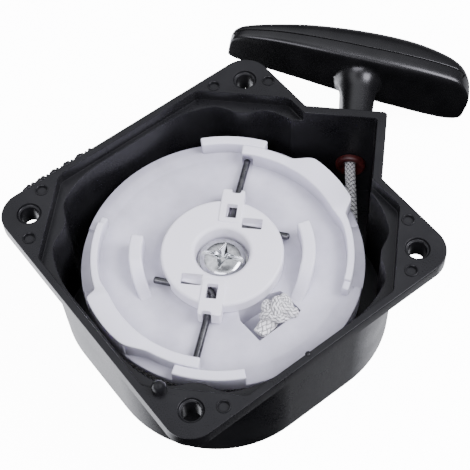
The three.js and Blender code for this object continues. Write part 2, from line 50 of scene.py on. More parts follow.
# ---------- sizes shared with the CAD ----------
HEIGHT = 42
FLOOR_TOP = 2.6
HOLE_CENTRES = [(58, 0), (0, 58), (-58, 0), (0, -58)]
EJECTOR_MARKS = [(-56, 8.7), (-56, -8.7), (-9.5, 54.3), (7.6, 58.2), (54.8, 9.6), (56.6, -7.8), (8.6, -56)]
FLANGE_HALF = 49.5
FLANGE_CORNER = 8.5
FLANGE_BOTTOM = 36.8
BELOW_FLANGE = 30
ABOVE_FLANGE = HEIGHT + 1
HOLE_R = 2.75
HOLE_RECESS_R = 3.6
HOLE_RECESS_DEPTH = 0.9
SLEEVE_R = 5
SLEEVE_BORE_R = 2.78
SLEEVE_BOTTOM = 34.2
PIT_R = 1.55
PIT_DEPTH = 0.5
PEG_PLACE = (-9.6, -53, 0)
BODY_HALF = 47.8
BODY_DRAFT = 0.6
BODY_CORNER = 36
BODY_EDGE = 1.6
CAVITY_HALF = 45.8
CAVITY_CORNER = 34
LEDGE_Z = 37.8
MOUTH_HALF = 47.2
MOUTH_CORNER_CUT = 52
BOSS_R = 10.5
BOX_X = 46.2
BOX_Y = 49.5
BOX_WALL = 3
BOX_START = 14
GUIDE_HOLE_R = 4.1
SPRING_CUP_IN = 30
SPRING_CUP_OUT = 32
SPRING_CUP_TOP = 12

ROPE_D = 3.5
ROPE_X = 35.9
ROPE_Z = 17.4
ROPE_PITCH = 3.7

REEL_R = 43.5
REEL_BOTTOM = 14
GROOVE_BOTTOM = 16.2
GROOVE_TOP = 24.1
GROOVE_R = 34.6
REEL_RIM_TOP = 26.6
REEL_FACE = 25.5
BOSS_BOTTOM = 3.2
BOSS_OUT = 8.5
BORE_R = 6.3
BORE_TOP = 21.4
CAM_IN = 37.9
CAM_OUT = 40.1
CAM_TOP = 31
CAM_START = -9
CAM_END = 88
RIM_WALL_IN = 40.3
RIB_IN = 24.3
RIB_OUT = 28.4
RIB_TOP = 32.2
# Radii between which the painted shade in the ring outside the hub cap starts and ends.
RING_SHADE_START = (18.5, 20)
RING_SHADE_END = (23, 29)
CAP_R = 18.8
CAP_BOTTOM = 25.9
CAP_TOP = 30.6
CAP_RECESS_R = 8.3
CAP_COLLAR_R = 9.5
WIRE_D = 2.2
WIRE_Z = 27.6
POST_TOP = 24
POST_R = 6
POST_BORE_R = 2.7
POCKET_ANGLE = -48

HANDLE_Y = 81
HANDLE_ROLL = 0.2  # radians
HANDLE_SEAM = 6
STEM_START = 50.6


# ---------- outlines ----------
def polar(radius, angle):
    return (radius * math.cos(math.radians(angle)), radius * math.sin(math.radians(angle)))


def circle(x, y, radius, steps):
    return [(x + u, y + v) for u, v in (polar(radius, 360 / steps * k) for k in range(steps))]


def ease(value, low, high):
    """Share from 0 to 1 that starts and ends softly as a value goes from low to high."""
    share = min(1.0, max(0.0, (value - low) / (high - low)))
    return share * share * (3 - 2 * share)


def curve_point(a, b, c, d, t):
    """Point on the Catmull-Rom curve between b and c, with its neighbours a and d."""
    return 0.5 * ((2 * b) + (c - a) * t + (2 * a - 5 * b + 4 * c - d) * t**2
                  + (3 * b - a - 3 * c + d) * t**3)


def rounded(corners, steps):
    """Closed outline through corners given anticlockwise as (x, y, radius), each turned into an arc."""
    outline = []
    for index, (x, y, radius) in enumerate(corners):
        corner = Vector((x, y))
        to_last = (Vector(corners[index - 1][:2]) - corner).normalized()
        to_next = (Vector(corners[(index + 1) % len(corners)][:2]) - corner).normalized()
        if radius == 0:
            outline.append(corner)
            continue
        half_angle = to_last.angle(to_next) / 2
        reach = radius / math.tan(half_angle)
        centre = corner + (to_last + to_next).normalized() * (radius / math.sin(half_angle))
        first = corner + to_last * reach - centre
        last = corner + to_next * reach - centre
        turn = first.angle_signed(last)
        for step in range(steps + 1):
            spoke = first.copy()
            spoke.rotate(Matrix.Rotation(-turn * step / steps, 2))
            outline.append(centre + spoke)
    return outline


def diamond(half, corner, steps=16):
    """Square with round corners that stand on the X and Y axes."""
    reach = half * math.sqrt(2)
    return rounded([(reach, 0, corner), (0, reach, corner), (-reach, 0, corner), (0, -reach, corner)], steps)


def cavity_radius(angle):
    """Distance from the axis to the cavity wall: a rounded square with a bulge at each flange hole."""
    from_corner = math.radians((angle + 45) % 90 - 45)
    to_side = math.pi / 4 - abs(from_corner)
    straight = CAVITY_HALF - CAVITY_CORNER
    if CAVITY_HALF * math.tan(to_side) <= straight:
        wall = CAVITY_HALF / math.cos(to_side)
    else:
        centre = straight * math.sqrt(2)
        wall = centre * math.cos(from_corner) + math.sqrt(
            CAVITY_CORNER**2 - (centre * math.sin(from_corner)) ** 2
        )
    hole_reach = HOLE_CENTRES[0][0]
    inside = BOSS_R**2 - (hole_reach * math.sin(from_corner)) ** 2
    if inside > 0:
        wall = min(wall, hole_reach * math.cos(from_corner) - math.sqrt(inside))
    return wall


def cavity_outline():
    """The cavity wall with the bulges blended in, by averaging the radius over a few degrees each way."""
    radii = [cavity_radius(angle) for angle in range(360)]
    window = range(-3, 4)
    smooth = [sum(radii[(angle + w) % 360] for w in window) / len(window) for angle in range(360)]
    return [polar(radius, angle) for angle, radius in enumerate(smooth)]


# ---------- meshes ----------
def new_piece(name, points, faces):
    mesh = bpy.data.meshes.new(name)
    mesh.from_pydata([Vector(p) * MM for p in points], [], faces)
    piece = bpy.data.objects.new(name, mesh)
    bpy.context.collection.objects.link(piece)
    return piece


def stack(name, rings):
    """Closed solid through rings of points that follow each other."""
    count = len(rings[0])
    points = [point for ring in rings for point in ring]
    faces = [list(range(count))[::-1]]
    for level in range(len(rings) - 1):
        for side in range(count):
            near = level * count + side
            near_next = level * count + (side + 1) % count
            faces.append((near, near_next, near_next + count, near + count))
    top = (len(rings) - 1) * count
    faces.append([top + side for side in range(count)])
    return new_piece(name, points, faces)


def prism(name, outline, z0, z1):
    return stack(name, [[(x, y, z) for x, y in outline] for z in (z0, z1)])


def box(name, low, high):
    (x0, y0, z0), (x1, y1, z1) = low, high
    return prism(name, [(x0, y0), (x1, y0), (x1, y1), (x0, y1)], z0, z1)


def lathe(name, profile, steps):
    """Turned ring about Z: profile is a closed loop of (radius, z)."""
    count = len(profile)
    points = [(*polar(r, 360 * k / steps), z) for k in range(steps) for r, z in profile]
    faces = []
    for k in range(steps):
        here = k * count
        there = (k + 1) % steps * count
        for i in range(count):
            j = (i + 1) % count
            faces.append((here + i, there + i, there + j, here + j))
    piece = new_piece(name, points, faces)
    clean(piece)
    return piece


def arc_wall(name, r_in, r_out, a0, a1, z0, z1):
    """Wall along an arc, a point every two degrees."""
    steps = max(2, round((a1 - a0) / 2))
    angles = [a0 + (a1 - a0) * k / steps for k in range(steps + 1)]
    outline = [polar(r_out, a) for a in angles] + [polar(r_in, a) for a in reversed(angles)]
    return prism(name, outline, z0, z1)


def tube(name, points, radius, sides=16, end_rounding=0.0):
    """Round tube along a list of points, with UVs: u runs along it in radii, v once round it."""
    path = [Vector(p) for p in points]
    length = [0.0]
    for before, after in zip(path, path[1:]):
        length.append(length[-1] + (after - before).length)
    side = None
    rings = []
    for index, point in enumerate(path):
        before = path[max(index - 1, 0)]
        after = path[min(index + 1, len(path) - 1)]
        along = (after - before).normalized()
        if side is None:
            side = along.orthogonal().normalized()
        side = (side - along * side.dot(along)).normalized()
        other = along.cross(side)
        end_distance = min(length[index], length[-1] - length[index])
        grow = 1.0
        if end_distance < end_rounding:
            grow = math.sqrt(max(0.04, 1 - (1 - end_distance / end_rounding) ** 2))
        spokes = [2 * math.pi * k / sides for k in range(sides)]
        rings.append([point + (side * math.cos(a) + other * math.sin(a)) * radius * grow for a in spokes])
    piece = stack(name, rings)
    uv = piece.data.uv_layers.new(name="UVMap")
    for face in piece.data.polygons:
        if len(face.vertices) != 4:
            continue
        columns = [vertex % sides for vertex in face.vertices]
        wraps = max(columns) - min(columns) > 1
        for loop, vertex in zip(face.loop_indices, face.vertices):
            column = vertex % sides
            if wraps and column == 0:
                column = sides
            uv.data[loop].uv = (length[vertex // sides] / radius, column / sides)
    return piece


def smooth_path(points, spacing):
    """Points along a smooth curve through the given ones."""
    path = [Vector(p) for p in points]
    ends = [path[0] * 2 - path[1], *path, path[-1] * 2 - path[-2]]
    found = []
    for a, b, c, d in zip(ends, ends[1:], ends[2:], ends[3:]):
        steps = max(1, round((c - b).length / spacing))
        for step in range(steps):
            found.append(curve_point(a, b, c, d, step / steps))
    found.append(path[-1])
    return found


def clean(piece):
    """Merge doubled points and turn every face outward."""
    mesh = bmesh.new()
    mesh.from_mesh(piece.data)
    bmesh.ops.remove_doubles(mesh, verts=mesh.verts, dist=1e-6)
    bmesh.ops.recalc_face_normals(mesh, faces=mesh.faces)
    mesh.to_mesh(piece.data)
    mesh.free()


def bake_modifiers(piece):
    """Replace the piece's mesh with what its modifiers make of it."""
    bpy.context.view_layer.update()
    evaluated = piece.evaluated_get(bpy.context.evaluated_depsgraph_get())
    mesh = bpy.data.meshes.new_from_object(evaluated)
    piece.modifiers.clear()
    old = piece.data
    piece.data = mesh
    bpy.data.meshes.remove(old)


def combine(piece, operation, tools):
    """Join the tools to the piece or cut them from it, and delete them."""
    for tool in tools:
        clean(tool)
        modifier = piece.modifiers.new("combine", "BOOLEAN")
        modifier.operation = operation
        modifier.solver = "MANIFOLD"
        modifier.object = tool
        bake_modifiers(piece)
        bpy.data.objects.remove(tool)
    return piece


def join_with(piece, *tools):
    return combine(piece, "UNION", tools)


def cut_with(piece, *tools):
    return combine(piece, "DIFFERENCE", tools)


def moved(piece, place=(0, 0, 0), turn=0.0, axis="Z"):
    """Turn a piece about an axis through the origin, in radians, and then move it."""
    piece.data.transform(Matrix.Translation(Vector(place) * MM) @ Matrix.Rotation(turn, 4, axis))
    return piece


def stood_along_rope(piece, place):
    """Turn a lathed piece so that its axis follows the line of pull, and then move it."""
    return moved(piece, place, math.pi / 2, "X")


def both_sides(make, *arguments):
    """A feature and its copy half a turn round the axis."""
    return [make(*arguments), moved(make(*arguments), turn=math.pi)]


def merge(piece, *others):
    """Put separate closed shells into one piece without cutting them."""
    mesh = bmesh.new()
    for part in (piece, *others):
        mesh.from_mesh(part.data)
    mesh.to_mesh(piece.data)
    mesh.free()
    for part in others:
        bpy.data.objects.remove(part)
    return piece


def flatten_faces(piece):
    """Merge the slivers that cutting leaves, and make one face of each flat patch."""
    mesh = bmesh.new()
    mesh.from_mesh(piece.data)
    bmesh.ops.remove_doubles(mesh, verts=mesh.verts, dist=0.03 * MM)
    bmesh.ops.dissolve_limit(mesh, angle_limit=math.radians(0.3), verts=mesh.verts, edges=mesh.edges)
    mesh.to_mesh(piece.data)
    mesh.free()


def round_edges(piece, width, segments=2, angle=32):
    """Small moulded radius on every sharp edge, and smooth shading between the edges."""
    flatten_faces(piece)
    bevel = piece.modifiers.new("edges", "BEVEL")
    bevel.width = width * MM
    bevel.segments = segments
    bevel.limit_method = "ANGLE"
    bevel.angle_limit = math.radians(angle)
    bevel.use_clamp_overlap = False
    bevel.miter_outer = "MITER_ARC"
    bake_modifiers(piece)
    shade(piece, angle)


def shade(piece, angle):
    """Smooth shading, with the edges sharper than the angle left sharp."""
    piece.data.shade_smooth()
    piece.data.set_sharp_from_angle(angle=math.radians(angle))
    weighted = piece.modifiers.new("shading", "WEIGHTED_NORMAL")
    weighted.keep_sharp = True
    bake_modifiers(piece)


# ---------- materials ----------
class Shader:
    """A principled material with a few node helpers. Object coordinates are in metres."""

    def __init__(self, name, colour, roughness, metallic=0.0):
        self.material = bpy.data.materials.new(name)
        self.material.use_nodes = True
        self.nodes = self.material.node_tree.nodes
        self.links = self.material.node_tree.links
        self.surface = self.nodes["Principled BSDF"]
        self.surface.inputs["Base Color"].default_value = (*colour, 1)
        self.surface.inputs["Roughness"].default_value = roughness
        self.surface.inputs["Metallic"].default_value = metallic
        self.place = self.nodes.new("ShaderNodeTexCoord")

    def noise(self, size, detail, stretch=None):
        """Noise whose lumps are about size millimetres; stretch scales the coordinates per axis."""
        node = self.nodes.new("ShaderNodeTexNoise")
        node.inputs["Scale"].default_value = 1 / (size * MM)
        node.inputs["Detail"].default_value = detail
        node.inputs["Roughness"].default_value = 0.55
        source = self.place.outputs["Object"]
        if stretch:
            mapping = self.nodes.new("ShaderNodeMapping")
            mapping.inputs["Scale"].default_value = stretch
            self.links.new(source, mapping.inputs["Vector"])
            source = mapping.outputs["Vector"]
        self.links.new(source, node.inputs["Vector"])
        return node.outputs["Fac"]

    def math(self, operation, first, second=None):
        node = self.nodes.new("ShaderNodeMath")
        node.operation = operation
        for socket, value in zip(node.inputs, (first, second)):
            if value is None:
                continue
            if isinstance(value, (int, float)):
                socket.default_value = value
            else:
                self.links.new(value, socket)
        return node.outputs["Value"]

    def remap(self, value, low, high, to_low, to_high):
        node = self.nodes.new("ShaderNodeMapRange")
        for name, number in (("From Min", low), ("From Max", high), ("To Min", to_low), ("To Max", to_high)):
            node.inputs[name].default_value = number
        self.links.new(value, node.inputs["Value"])
        return node.outputs["Result"]

    def mix(self, factor, first, second):
        """Mix of two colours or colour outputs."""
        node = self.nodes.new("ShaderNodeMix")
        node.data_type = "RGBA"
        self.links.new(factor, node.inputs["Factor"])
        for socket, value in ((node.inputs[6], first), (node.inputs[7], second)):
            if isinstance(value, tuple):
                socket.default_value = (*value, 1)
            else:
                self.links.new(value, socket)
        return node.outputs[2]

    def mottle(self, value, low, high, first, second):
        """Colour the surface from the first colour to the second as a value goes from low to high."""
        self.set(Base_Color=self.mix(self.remap(value, low, high, 0, 1), first, second))

    def bump(self, height, depth, strength=1.0):
        """Bump of the given depth in millimetres, laid over any bump made before it."""
        node = self.nodes.new("ShaderNodeBump")
        node.inputs["Strength"].default_value = strength
        node.inputs["Distance"].default_value = depth * MM
        self.links.new(height, node.inputs["Height"])
        normal = self.surface.inputs["Normal"]
        if normal.is_linked:
            self.links.new(normal.links[0].from_socket, node.inputs["Normal"])
        self.links.new(node.outputs["Normal"], normal)

    def set(self, **values):
        """Set sockets by name, with _ for a space."""
        for name, value in values.items():
            socket = self.surface.inputs[name.replace("_", " ")]
            if isinstance(value, bpy.types.NodeSocket):
                self.links.new(value, socket)
            else:
                socket.default_value = value


def black_moulding():
    """Glass-filled black nylon: fine grain, faint flow marks and patches that shine differently."""
    shader = Shader("black_moulding", (0.012, 0.012, 0.013), 0.4)
    grain = shader.noise(0.5, detail=5)
    patches = shader.noise(14, detail=3)
    flow = shader.noise(3.5, detail=2, stretch=(1, 1, 0.25))
    shader.mottle(patches, 0.3, 0.7, (0.006, 0.006, 0.007), (0.013, 0.013, 0.014))
    shader.set(Roughness=shader.remap(shader.math("ADD", patches, grain), 0.7, 1.3, 0.24, 0.38))
    shader.set(Specular_IOR_Level=0.25)
    shader.bump(grain, 0.05, 0.5)
    shader.bump(flow, 0.06, 0.35)
    return shader.material


def handle_moulding():
    """Smoother black polypropylene of the handle, with a soft sheen."""
    shader = Shader("handle_moulding", (0.014, 0.014, 0.015), 0.42)
    grain = shader.noise(0.35, detail=4)
    waves = shader.noise(9, detail=2)
    shader.mottle(waves, 0.35, 0.65, (0.005, 0.005, 0.0055), (0.009, 0.009, 0.0095))
    shader.set(Roughness=shader.remap(grain, 0.3, 0.7, 0.22, 0.34))
    shader.set(Specular_IOR_Level=0.45)
    shader.bump(grain, 0.015, 0.15)
    shader.bump(waves, 0.12, 0.3)
    return shader.material


def white_nylon(name, colour, cloud_and_shade_colour, wall_highlight_colour):
    """Natural nylon, slightly see-through and clouded, with painted shade over the rim and in the ring round
    the hub cap, and painted light that makes it whiter up the walls.
    """
    shader = Shader(name, colour, 0.42)
    split = shader.nodes.new("ShaderNodeSeparateXYZ")
    shader.links.new(shader.place.outputs["Object"], split.inputs["Vector"])
    # Painted highlight: the colour turns whiter with height, up to the tops of the walls and ribs.
    walls = shader.remap(split.outputs["Z"], REEL_RIM_TOP * MM, CAM_TOP * MM, 0, 1)
    radius = shader.math("SQRT", shader.math("ADD", shader.math("POWER", split.outputs["X"], 2),
                                             shader.math("POWER", split.outputs["Y"], 2)))
    # Painted shade over the rim, darker towards its outer edge.
    rim = shader.remap(radius, GROOVE_R * MM, REEL_R * MM, 0, 1)
    # Painted shade in the ring between the hub cap and the ribs.
    ring_shade_in = shader.remap(radius, RING_SHADE_START[0] * MM, RING_SHADE_START[1] * MM, 0, 0.7)
    ring_shade_out = shader.remap(radius, RING_SHADE_END[0] * MM, RING_SHADE_END[1] * MM, 1, 0)
    ring_shade = shader.math("MULTIPLY", ring_shade_in, ring_shade_out)
    painted_shade = shader.math("MAXIMUM", rim, ring_shade)
    clouds = shader.noise(11, detail=4)
    skin = shader.noise(0.7, detail=4)
    ripples = shader.noise(5, detail=2)
    # Random clouds and the painted shade both darken the face colour.
    clouds_and_shade = shader.math("ADD", shader.remap(clouds, 0.3, 0.7, 0, 0.5), shader.remap(painted_shade, 0, 1, 0, 0.5))
    web_colour = shader.mix(clouds_and_shade, colour, cloud_and_shade_colour)
    shader.set(Base_Color=shader.mix(walls, web_colour, wall_highlight_colour))
    shader.set(Roughness=shader.remap(clouds, 0.3, 0.7, 0.36, 0.5))
    shader.set(Subsurface_Weight=0.35, Subsurface_Radius=(1.6, 1.5, 1.7), Subsurface_Scale=MM)
    shader.bump(skin, 0.04, 0.35)
    shader.bump(ripples, 0.15, 0.3)
    return shader.material


def drawn_wire():
    """Dark spring wire with fine scale and a few lighter spots."""
    shader = Shader("drawn_wire", (0.16, 0.16, 0.17), 0.32, metallic=1.0)
    scale = shader.noise(0.8, detail=5)
    spots = shader.noise(3, detail=3)
    shader.mottle(spots, 0.35, 0.65, (0.07, 0.07, 0.075), (0.13, 0.13, 0.135))
    shader.set(Roughness=shader.remap(scale, 0.3, 0.7, 0.24, 0.42))
    shader.bump(scale, 0.02, 0.4)
    return shader.material


def zinc_plate(name, dull_colour, bright_colour):
    """Zinc with a faint mottle."""
    shader = Shader(name, bright_colour, 0.2, metallic=1.0)
    cloud = shader.noise(1.6, detail=5)
    shader.mottle(cloud, 0.3, 0.7, dull_colour, bright_colour)
    shader.set(Roughness=shader.remap(cloud, 0.3, 0.7, 0.08, 0.24))
    shader.bump(cloud, 0.02, 0.5)
    return shader.material


def blued_strip():
    """Oiled spring strip, blue-grey, with darker streaks along it."""
    shader = Shader("blued_strip", (0.3, 0.32, 0.37), 0.3, metallic=1.0)
    streaks = shader.noise(2.5, detail=4, stretch=(0.3, 0.3, 3))
    shader.mottle(streaks, 0.3, 0.7, (0.2, 0.21, 0.26), (0.42, 0.43, 0.47))
    shader.set(Roughness=shader.remap(streaks, 0.3, 0.7, 0.22, 0.4))
    return shader.material


def red_grommet():
    """Dark red moulded nylon, darkened further as painted shade, with darker patches of wear."""
    shader = Shader("red_grommet", (0.07, 0.009, 0.008), 0.4)
    wear = shader.noise(1.8, detail=4)
    # The red is partly its own dark tone and partly painted shade; the mottle between the two tones is
    # random.
    shader.mottle(wear, 0.35, 0.65, (0.025, 0.004, 0.0035), (0.065, 0.009, 0.008))
    shader.set(Roughness=shader.remap(wear, 0.3, 0.7, 0.3, 0.5))
    shader.bump(wear, 0.03, 0.4)
    return shader.material


def braid_pattern(shader, along, around, strands):
    """Plain braid: two families of strands that cross and pass over each other in turn.

    along is in radii and around is in turns, and strands is the number in each family."""
    turns_along = shader.math("DIVIDE", along, strands)
    families = []
    for operation in ("ADD", "SUBTRACT"):
        strand = shader.math("MULTIPLY", shader.math(operation, turns_along, around), strands)
        hump = shader.math("ABSOLUTE", shader.math("SINE", shader.math("MULTIPLY", strand, math.pi)))
        families.append((shader.math("FLOOR", strand), hump))
    cell = shader.math("ADD", families[0][0], families[1][0])
    over = shader.math("MODULO", shader.math("ABSOLUTE", cell), 2)
    under = shader.math("SUBTRACT", 1, over)
    return shader.math("ADD", shader.math("MULTIPLY", families[0][1], over),
                       shader.math("MULTIPLY", families[1][1], under))


def starter_rope(name, from_uv=True, strands=10, gap_shade_colour=(0.3, 0.29, 0.28)):
    """White polyester braid with shaded hollows between the strands and some grease.

    The pattern follows the UVs, or else the straight line of the rope to the handle."""
    shader = Shader(name, (0.85, 0.84, 0.82), 0.8)
    split = shader.nodes.new("ShaderNodeSeparateXYZ")
    if from_uv:
        shader.links.new(shader.place.outputs["UV"], split.inputs["Vector"])
        along, around = split.outputs["X"], split.outputs["Y"]
    else:
        shader.links.new(shader.place.outputs["Object"], split.inputs["Vector"])
        along = shader.math("MULTIPLY", split.outputs["Y"], 2 / (ROPE_D * MM))
        sideways = shader.math("SUBTRACT", split.outputs["X"], ROPE_X * MM)
        upward = shader.math("SUBTRACT", split.outputs["Z"], ROPE_Z * MM)
        around = shader.math("DIVIDE", shader.math("ARCTAN2", upward, sideways), 2 * math.pi)
    height = braid_pattern(shader, along, around, strands)
    fuzz = shader.noise(0.35, detail=4)
    dirt = shader.noise(6, detail=3)
    # Painted shade: the gap colour darkens the hollows between the strands.
    clean_colour = shader.mix(shader.remap(height, 0.25, 0.75, 0, 1), gap_shade_colour, (0.95, 0.94, 0.93))
    greasy = shader.remap(dirt, 0.5, 0.8, 0, 0.35)
    shader.set(Base_Color=shader.mix(greasy, clean_colour, (0.5, 0.49, 0.46)))
    shader.set(Sheen_Weight=0.3, Sheen_Roughness=0.5)
    shader.bump(height, 0.4, 1.0)
    shader.bump(fuzz, 0.08, 0.7)
    return shader.material


def finish_piece(piece, body, slot, material, *nodes):
    """Give a piece its material, the body it rides on and the CAD nodes it stands for."""
    piece.data.materials.clear()
    piece.data.materials.append(material)
    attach(piece, body)
    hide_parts(*nodes)


# ---------- housing ----------
def housing_body():
    """Drafted body with a rounded edge at the closed face."""
    rings = []
    top = FLANGE_BOTTOM + 2
    for step in range(5):
        angle = math.radians(90 * step / 4)
        inset = BODY_EDGE * (1 - math.sin(angle))
        z = BODY_EDGE * (1 - math.cos(angle))
        rings.append((inset + BODY_DRAFT * (1 - z / top), z))
    rings.append((0, top))
    return stack("housing_shell", [
        [(x, y, z) for x, y in diamond(BODY_HALF - inset, BODY_CORNER - inset, 24)] for inset, z in rings
    ])


def rope_box_outline(far_x, far_y, corner_radius, steps):
    """Outline of the rope box, or of the space in it, from inside the cup to its far corner."""
    return rounded([(BOX_START, BOX_START, 1), (far_x, BOX_START, 1), (far_x, far_y, corner_radius),
                    (BOX_START, far_y, 1)], steps)


def mouth_outline():
    """Opening above the ledge: the square with its corners cut off square to the diagonals."""
    near = MOUTH_HALF * math.sqrt(2) - MOUTH_CORNER_CUT
    far = MOUTH_CORNER_CUT
    corners = [(far, -near), (far, near), (near, far), (-near, far),
               (-far, near), (-far, -near), (-near, -far), (near, -far)]
    return rounded([(x, y, 3) for x, y in corners], 5)


def guide_hole():
    """Tool for the grommet's hole in the far wall of the rope box."""
    hole = lathe("guide_hole", [(0.01, -5), (GUIDE_HOLE_R, -5), (GUIDE_HOLE_R, 5), (0.01, 5)], 32)
    return stood_along_rope(hole, (ROPE_X, BOX_Y - 1, ROPE_Z))


def housing():
    """Moulded shell: body, flange and rope box, hollowed out, with its holes, details and flash."""
    shell = join_with(
        housing_body(),
        prism("flange", diamond(FLANGE_HALF, FLANGE_CORNER, 16), FLANGE_BOTTOM, HEIGHT),
        prism("rope_box", rope_box_outline(BOX_X, BOX_Y, 1.2, 5), 0, HEIGHT),
    )
    space = rope_box_outline(BOX_X - BOX_WALL, BOX_Y - BOX_WALL, 0.8, 4)
    cut_with(
        shell,
        prism("cup", cavity_outline(), FLOOR_TOP, ABOVE_FLANGE),
        prism("mouth", mouth_outline(), LEDGE_Z, ABOVE_FLANGE),
        prism("rope_space", space, FLOOR_TOP, ABOVE_FLANGE),
        guide_hole(),
    )
    for x, y in HOLE_CENTRES:
        cut_with(
            shell,
            prism("hole", circle(x, y, HOLE_R, 36), BELOW_FLANGE, ABOVE_FLANGE),
            prism("recess", circle(x, y, HOLE_RECESS_R, 36), HEIGHT - HOLE_RECESS_DEPTH, ABOVE_FLANGE),
        )
    round_edges(shell, 0.4)
    for x, y in EJECTOR_MARKS:
        cut_with(shell, prism("pit", circle(x, y, PIT_R, 24), HEIGHT - PIT_DEPTH, ABOVE_FLANGE))
    for vertex in shell.data.vertices:
        vertex.co.z = max(vertex.co.z, 0)
    merge(shell, *housing_details(), *moulding_flash())
    shade(shell, 38)
    finish_piece(shell, "housing", "housing_plastic", black_moulding(), "housing")


def hole_sleeve(x, y):
    """Short tube under the flange, round a flange hole."""
    top = FLANGE_BOTTOM + 0.6
    sleeve = lathe("sleeve", [
        (SLEEVE_BORE_R, SLEEVE_BOTTOM), (SLEEVE_R - 0.3, SLEEVE_BOTTOM), (SLEEVE_R, SLEEVE_BOTTOM + 0.3),
        (SLEEVE_R, top), (SLEEVE_BORE_R, top),
    ], 36)
    return moved(sleeve, (x, y, 0))


def ejector_rim(x, y):
    """Raised rim round the pit of an ejector mark."""
    rim = lathe("mark", [
        (1.5, HEIGHT - 0.3), (2.05, HEIGHT - 0.3), (2.05, HEIGHT + 0.1), (1.95, HEIGHT + 0.25),
        (1.75, HEIGHT + 0.3), (1.6, HEIGHT + 0.2), (1.5, HEIGHT),
    ], 28)
    return moved(rim, (x, y, 0))


def flange_peg():
    """Small round-topped peg on the near corner of the flange."""
    peg = lathe("peg", [
        (0.02, HEIGHT - 0.5), (2.1, HEIGHT - 0.5), (2.1, HEIGHT + 1.5), (1.8, HEIGHT + 2.4),
        (1.2, HEIGHT + 3), (0.02, HEIGHT + 3.25),
    ], 24)
    return moved(peg, PEG_PLACE)


def housing_details():
    """Post, spring cup, peg, hole sleeves and ejector rims: shells that stand on the moulding."""
    post = lathe("post", [
        (POST_BORE_R, 8), (POST_R, 3), (POST_R, POST_TOP - 0.4), (POST_R - 0.4, POST_TOP),
        (POST_BORE_R, POST_TOP),
    ], 48)
    cup = lathe("cup", [
        (SPRING_CUP_IN, FLOOR_TOP - 0.2), (SPRING_CUP_OUT, FLOOR_TOP - 0.2),
        (SPRING_CUP_OUT, SPRING_CUP_TOP), (SPRING_CUP_IN, SPRING_CUP_TOP),
    ], 96)
    sleeves = [hole_sleeve(x, y) for x, y in HOLE_CENTRES]
    rims = [ejector_rim(x, y) for x, y in EJECTOR_MARKS]
    return [post, cup, flange_peg(), *sleeves, *rims]


def flash_crumb(x, y, radius):
    """Flattened ball of plastic on top of the flange."""
    slices = [math.radians(-89 + 22.25 * k) for k in range(9)]
    crumb = lathe("crumb", [
        (radius * math.cos(a), HEIGHT - 0.1 + radius * 0.6 * math.sin(a)) for a in slices
    ], 8)
    return moved(crumb, (x, y, 0))


def moulding_flash():
    """Ragged crumbs of flash along the flange's upper left edge, and one burr on the near right edge."""
    pieces = [flash_crumb(29.7, -37.6, 0.9)]
    start, end = Vector((-61.5, 8.3)), Vector((-44, 25.8))
    count = 24
    for k in range(count):
        x, y = start.lerp(end, (k + 0.4 * math.sin(5 * k)) / count)
        pieces.append(flash_crumb(x, y, 0.4 + 0.5 * math.sin(7 * k) ** 2))
    return pieces


def rope_guide():
    """Eyelet with a bell mouth on both sides, its collar inside the box."""
    wall = BOX_Y - BOX_WALL
    profile = [(2.2, wall), (2.5, wall - 1.2), (3.2, wall - 2), (4.2, wall - 2.1), (4.8, wall - 1.7),
               (5, wall - 1.1), (5, wall - 0.3), (3.9, wall - 0.3), (3.9, BOX_Y + 0.1), (3.5, BOX_Y + 0.2),
               (2.9, BOX_Y + 0.1), (2.3, BOX_Y - 0.8)]
    guide = lathe("rope_grommet", [(r, -y) for r, y in profile], 48)
    stood_along_rope(guide, (ROPE_X, 0, ROPE_Z))
    clean(guide)
    shade(guide, 50)
    finish_piece(guide, "housing", "guide_plastic", red_grommet(), "rope_guide")


# ---------- reel ----------
def ramp_rib(level_start, level_end, ramp_end):
    """Curved rib on the reel's face, level and then down a straight ramp."""
    foot = REEL_FACE - 1
    steps = 28
    rings = []
    for k in range(steps + 1):
        angle = level_start + (ramp_end - level_start) * k / steps
        share = max(0.0, (angle - level_end) / (ramp_end - level_end))
        height = RIB_TOP - (RIB_TOP - REEL_FACE + 0.3) * min(1.0, share)
        inner, outer = polar(RIB_IN, angle), polar(RIB_OUT, angle)
        rings.append([(*inner, foot), (*outer, foot), (*outer, height), (*inner, height)])
    rib = stack("rib", rings)
    clean(rib)
    round_edges(rib, 0.7, segments=3)
    return rib


def cam_wall():
    """Wall inside the rim: thin at first, then swinging out to the rim and back, with its top sloping up."""
    foot = REEL_FACE - 1
    rings = []
    for angle in range(CAM_START, CAM_END + 1):
        widening = ease(angle, 20, 32)
        swing = ease(angle, 25.5, 31) * (1 - ease(angle, 54, 66))
        inner = polar(CAM_IN - 1.2 * widening, angle)
        outer = polar(CAM_OUT + 3.3 * swing, angle)
        low_top = CAM_TOP + 0.3 * widening
        rings.append([(*inner, foot), (*outer, foot), (*outer, low_top + 2 * swing), (*inner, low_top)])
    wall = stack("cam", rings)
    clean(wall)
    round_edges(wall, 0.45, segments=3)
    return wall


def soft_wall(r_in, r_out, a0, a1, top, rounding):
    """Arc-shaped wall with rounded edges, standing in the reel's face."""
    wall = arc_wall("wall", r_in, r_out, a0, a1, REEL_FACE - 1, top)
    round_edges(wall, rounding, segments=3)
    return wall


